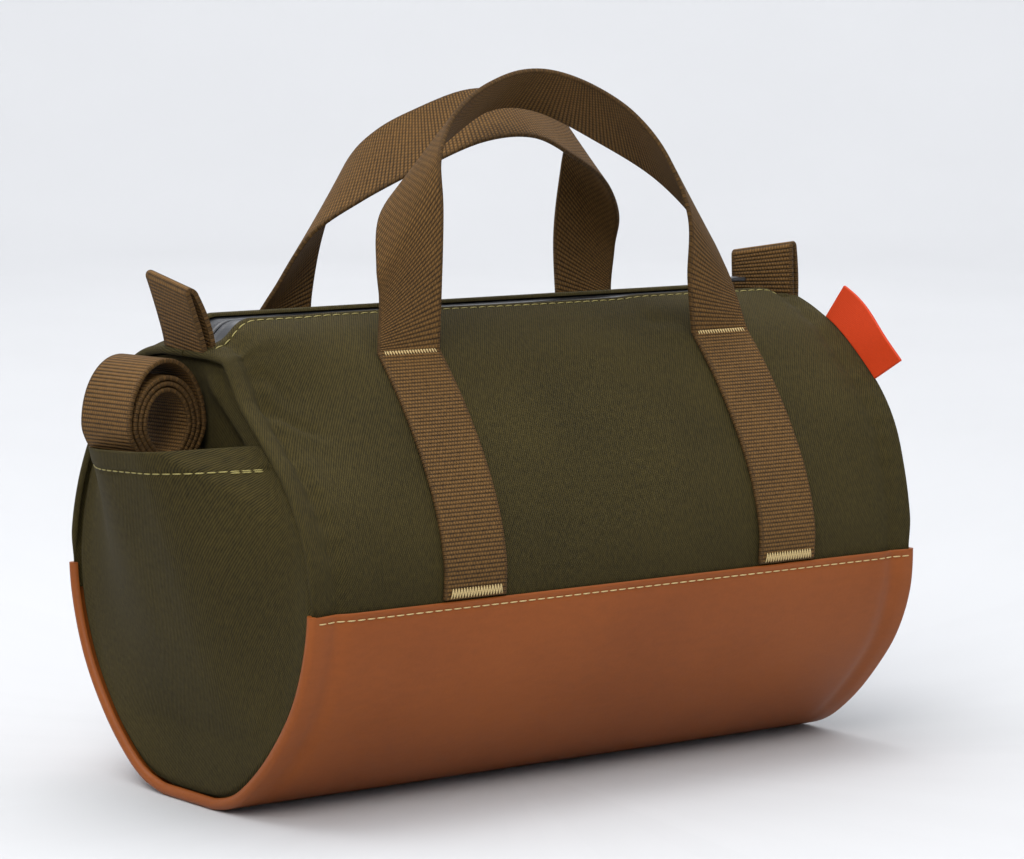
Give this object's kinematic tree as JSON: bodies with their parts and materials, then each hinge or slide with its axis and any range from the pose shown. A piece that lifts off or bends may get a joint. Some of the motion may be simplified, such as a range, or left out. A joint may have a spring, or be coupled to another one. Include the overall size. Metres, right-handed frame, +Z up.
{
  "type": "handlebar bag",
  "caption": "Small barrel bag with woven upper panels, leather base, top zip, webbing carry handles, webbing end tabs and an end pocket holding a rolled strap.",
  "frame": {"origin": "on the floor under the middle of the barrel, at the centre of the flattened strip it rests on", "axes": "+X along the barrel from the pocket end to the plain end, +Y from the front to the back, +Z up through the zip"},
  "size_m": [0.2927, 0.1546, 0.244],
  "materials": {
    "woven_fabric": "matt twill",
    "leather": "smooth",
    "webbing": "ribbed",
    "zip_tape": "coated",
    "zip_coil": "satin",
    "slider": "satin",
    "label": "woven ribbon"
  },
  "bodies": {
    "bag": {"base_panel": "leather", "front_panel": "woven_fabric", "back_panel": "woven_fabric", "end_panel_left": "woven_fabric", "end_panel_right": "woven_fabric", "end_pocket": "woven_fabric", "zip_tape_front": "zip_tape", "zip_tape_back": "zip_tape", "zip_coil": "zip_coil", "zip_slider": "slider", "handle_front": "webbing", "handle_back": "webbing", "tab_left": "webbing", "tab_right": "webbing", "strap_roll": "webbing", "label": "label"},
    "puller": {"zip_puller": "slider"}
  },
  "joints": [
    {"name": "puller_hinge", "type": "hinge", "parent": "bag", "child": "puller", "pos_m": [0.101, 0, 0.16523], "axis": [0, -1, 0], "range_deg": [0, 170]}
  ]
}
